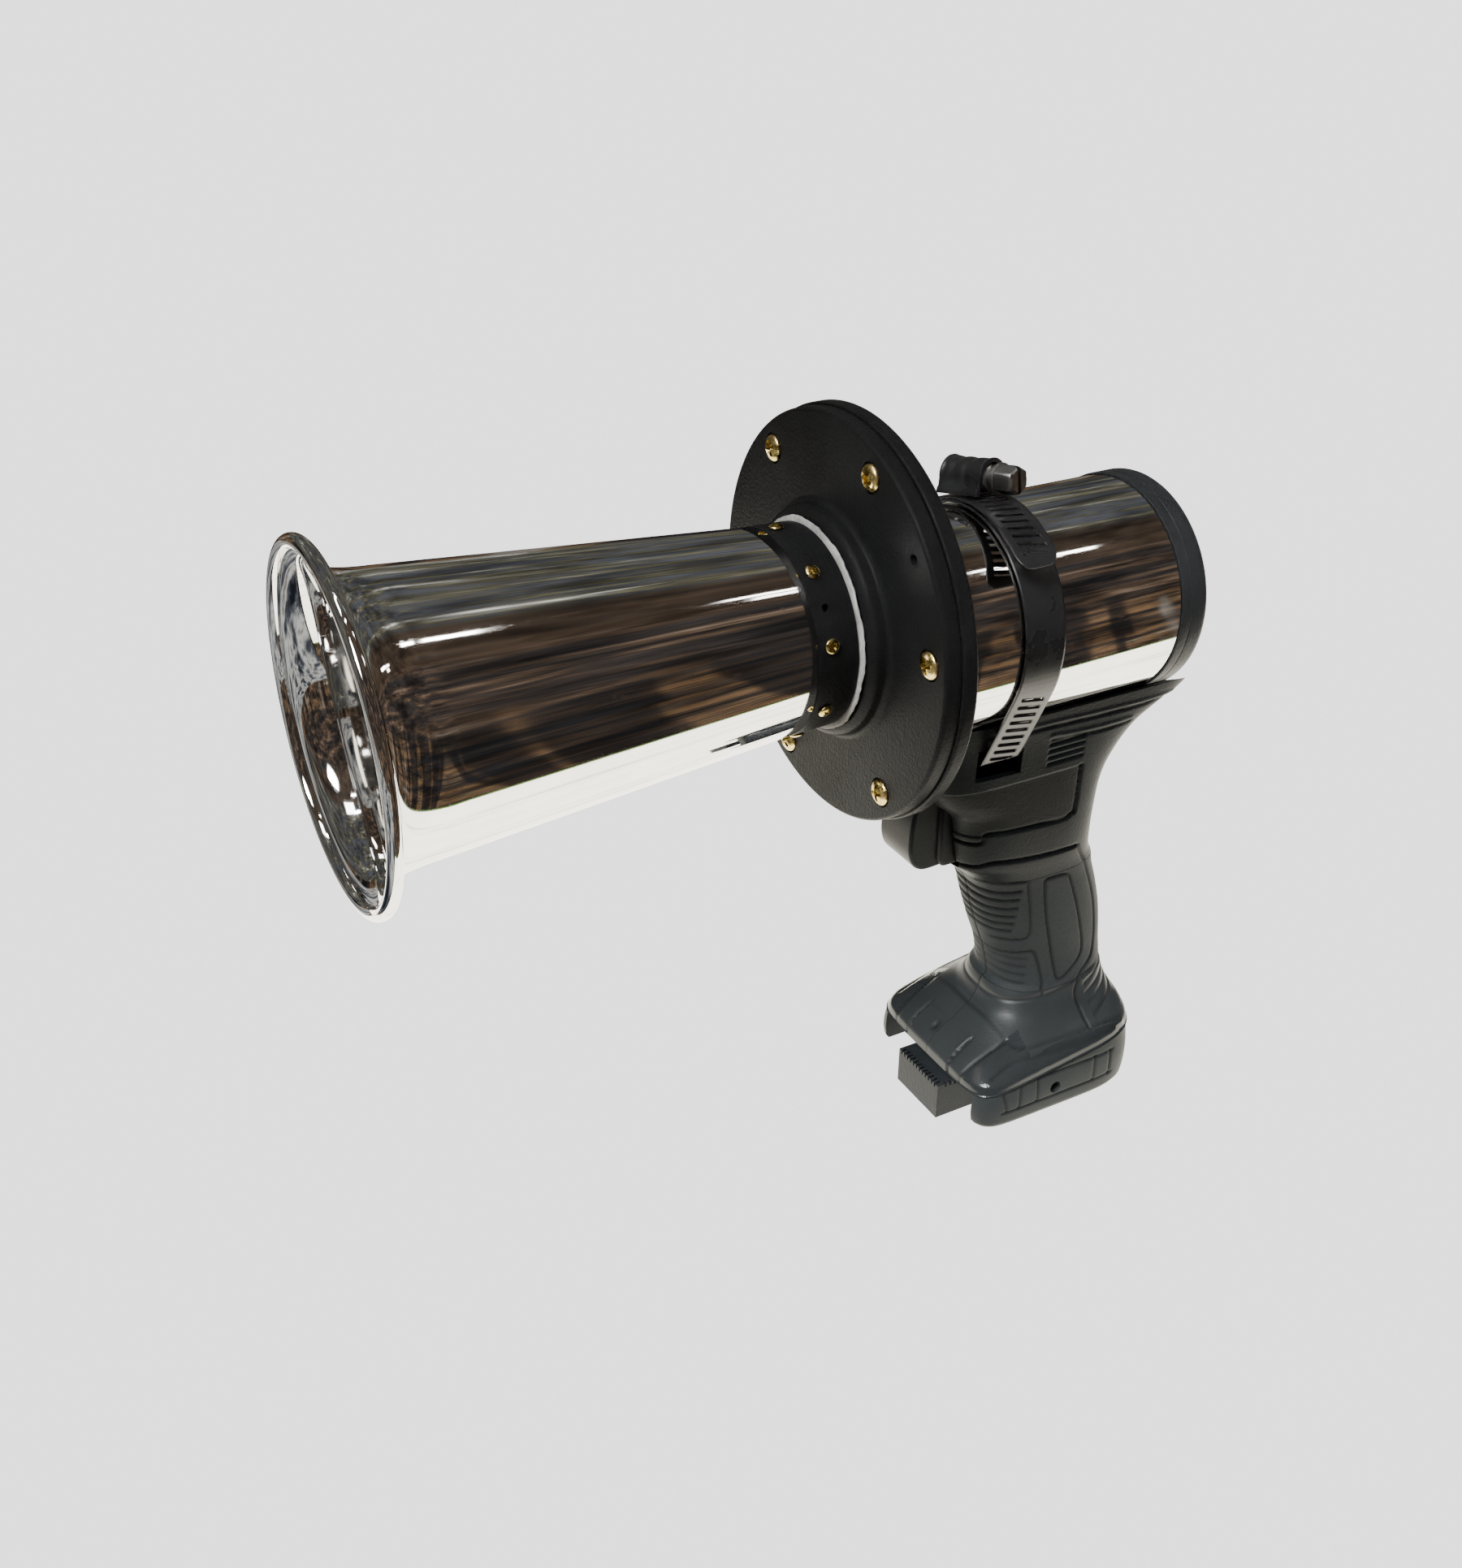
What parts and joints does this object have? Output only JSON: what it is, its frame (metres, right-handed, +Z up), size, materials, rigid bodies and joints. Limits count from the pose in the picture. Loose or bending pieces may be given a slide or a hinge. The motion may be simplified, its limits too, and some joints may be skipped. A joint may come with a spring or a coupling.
{
  "type": "hand-held motor horn",
  "caption": "Chrome trumpet horn with a diaphragm housing and motor can, strapped by a worm-drive clamp to a pistol grip with a trigger and a foot for a tool battery.",
  "frame": {"origin": "on the flat underside of the terminal block, where a battery pack docks, in the handle's mid-plane", "axes": "+Y from the trumpet's mouth towards the motor's rear, +Z up from the foot to the horn, +X towards the gun's own left side"},
  "size_m": [0.1258, 0.2777, 0.2589],
  "materials": {
    "chrome": "polished chrome plate",
    "black_cast": "black fine-grain moulding, slightly glossy",
    "sealant": "grey-white sealant, smoothed by hand",
    "brass": "yellow-passivated or brass-plated screws and bronze bearings",
    "steel": "plain steel",
    "copper": "enamelled copper winding and bare copper segments",
    "ferrite": "sintered ferrite",
    "carbon": "pressed carbon",
    "band_steel": "blackened steel",
    "shell_plastic": "dark grey glass-filled nylon",
    "grip_rubber": "charcoal moulded-on rubber",
    "trigger_plastic": "smooth dark grey plastic",
    "terminal_plastic": "grey plastic",
    "lead_red": "red insulated wire",
    "lead_black": "black insulated wire"
  },
  "bodies": {
    "body": {"trumpet": "chrome", "motor_can": "chrome", "neck_collar": "black_cast", "diaphragm_cover": "black_cast", "gasket": "black_cast", "diaphragm_housing": "black_cast", "motor_end_cap": "black_cast", "brush_plate": "black_cast", "seal_bead": "sealant", "neck_screw_1": "brass", "neck_screw_2": "brass", "neck_screw_3": "brass", "neck_screw_4": "brass", "neck_screw_5": "brass", "neck_screw_6": "brass", "neck_screw_7": "brass", "neck_screw_8": "brass", "neck_screw_9": "brass", "cover_screw_1": "brass", "cover_screw_2": "brass", "cover_screw_3": "brass", "cover_screw_4": "brass", "cover_screw_5": "brass", "cover_screw_6": "brass", "handle_screw_grip": "brass", "handle_screw_head_front": "brass", "handle_screw_head_rear": "brass", "front_bearing": "brass", "rear_bearing": "brass", "diaphragm": "steel", "diaphragm_button": "steel", "front_bearing_plate": "steel", "magnet_left": "ferrite", "magnet_right": "ferrite", "brush_left": "carbon", "brush_right": "carbon", "clamp_band": "band_steel", "clamp_housing": "band_steel", "handle_left": "shell_plastic", "handle_right": "shell_plastic", "foot_rail_left": "shell_plastic", "foot_rail_right": "shell_plastic", "grip_sleeve": "grip_rubber", "switch_body": "terminal_plastic", "terminal_block": "terminal_plastic", "battery_lead_positive": "lead_red", "motor_lead": "lead_red", "battery_lead_negative": "lead_black", "neck_spigot": "black_cast"},
    "armature": {"armature_shaft": "steel", "armature_core": "steel", "winding_front": "copper", "winding_rear": "copper", "commutator": "copper", "ratchet_wheel": "steel"},
    "trigger": {"trigger": "trigger_plastic", "trigger_spring": "steel"},
    "clamp_screw": {"clamp_screw": "band_steel"},
    "adjust_screw": {"adjust_screw": "steel"}
  },
  "joints": [
    {"name": "trigger_pull", "type": "slide", "parent": "body", "child": "trigger", "axis": [0, 1, 0], "range_m": [0, 0.007], "stiffness_N_per_m": 600, "springref_m": -0.01},
    {"name": "armature_spin", "type": "hinge", "parent": "body", "child": "armature", "pos_m": [0, 0, 0.1884], "axis": [0, 1, 0], "continuous": true},
    {"name": "clamp_screw_turn", "type": "hinge", "parent": "body", "child": "clamp_screw", "pos_m": [-0.0074, -0.02544, 0.23035], "axis": [0.9556, 0.2419, 0.1685], "continuous": true},
    {"name": "adjust_screw_turn", "type": "hinge", "parent": "body", "child": "adjust_screw", "pos_m": [0, 0.037, 0.1884], "axis": [0, 1, 0], "range_deg": [-180, 180]}
  ]
}
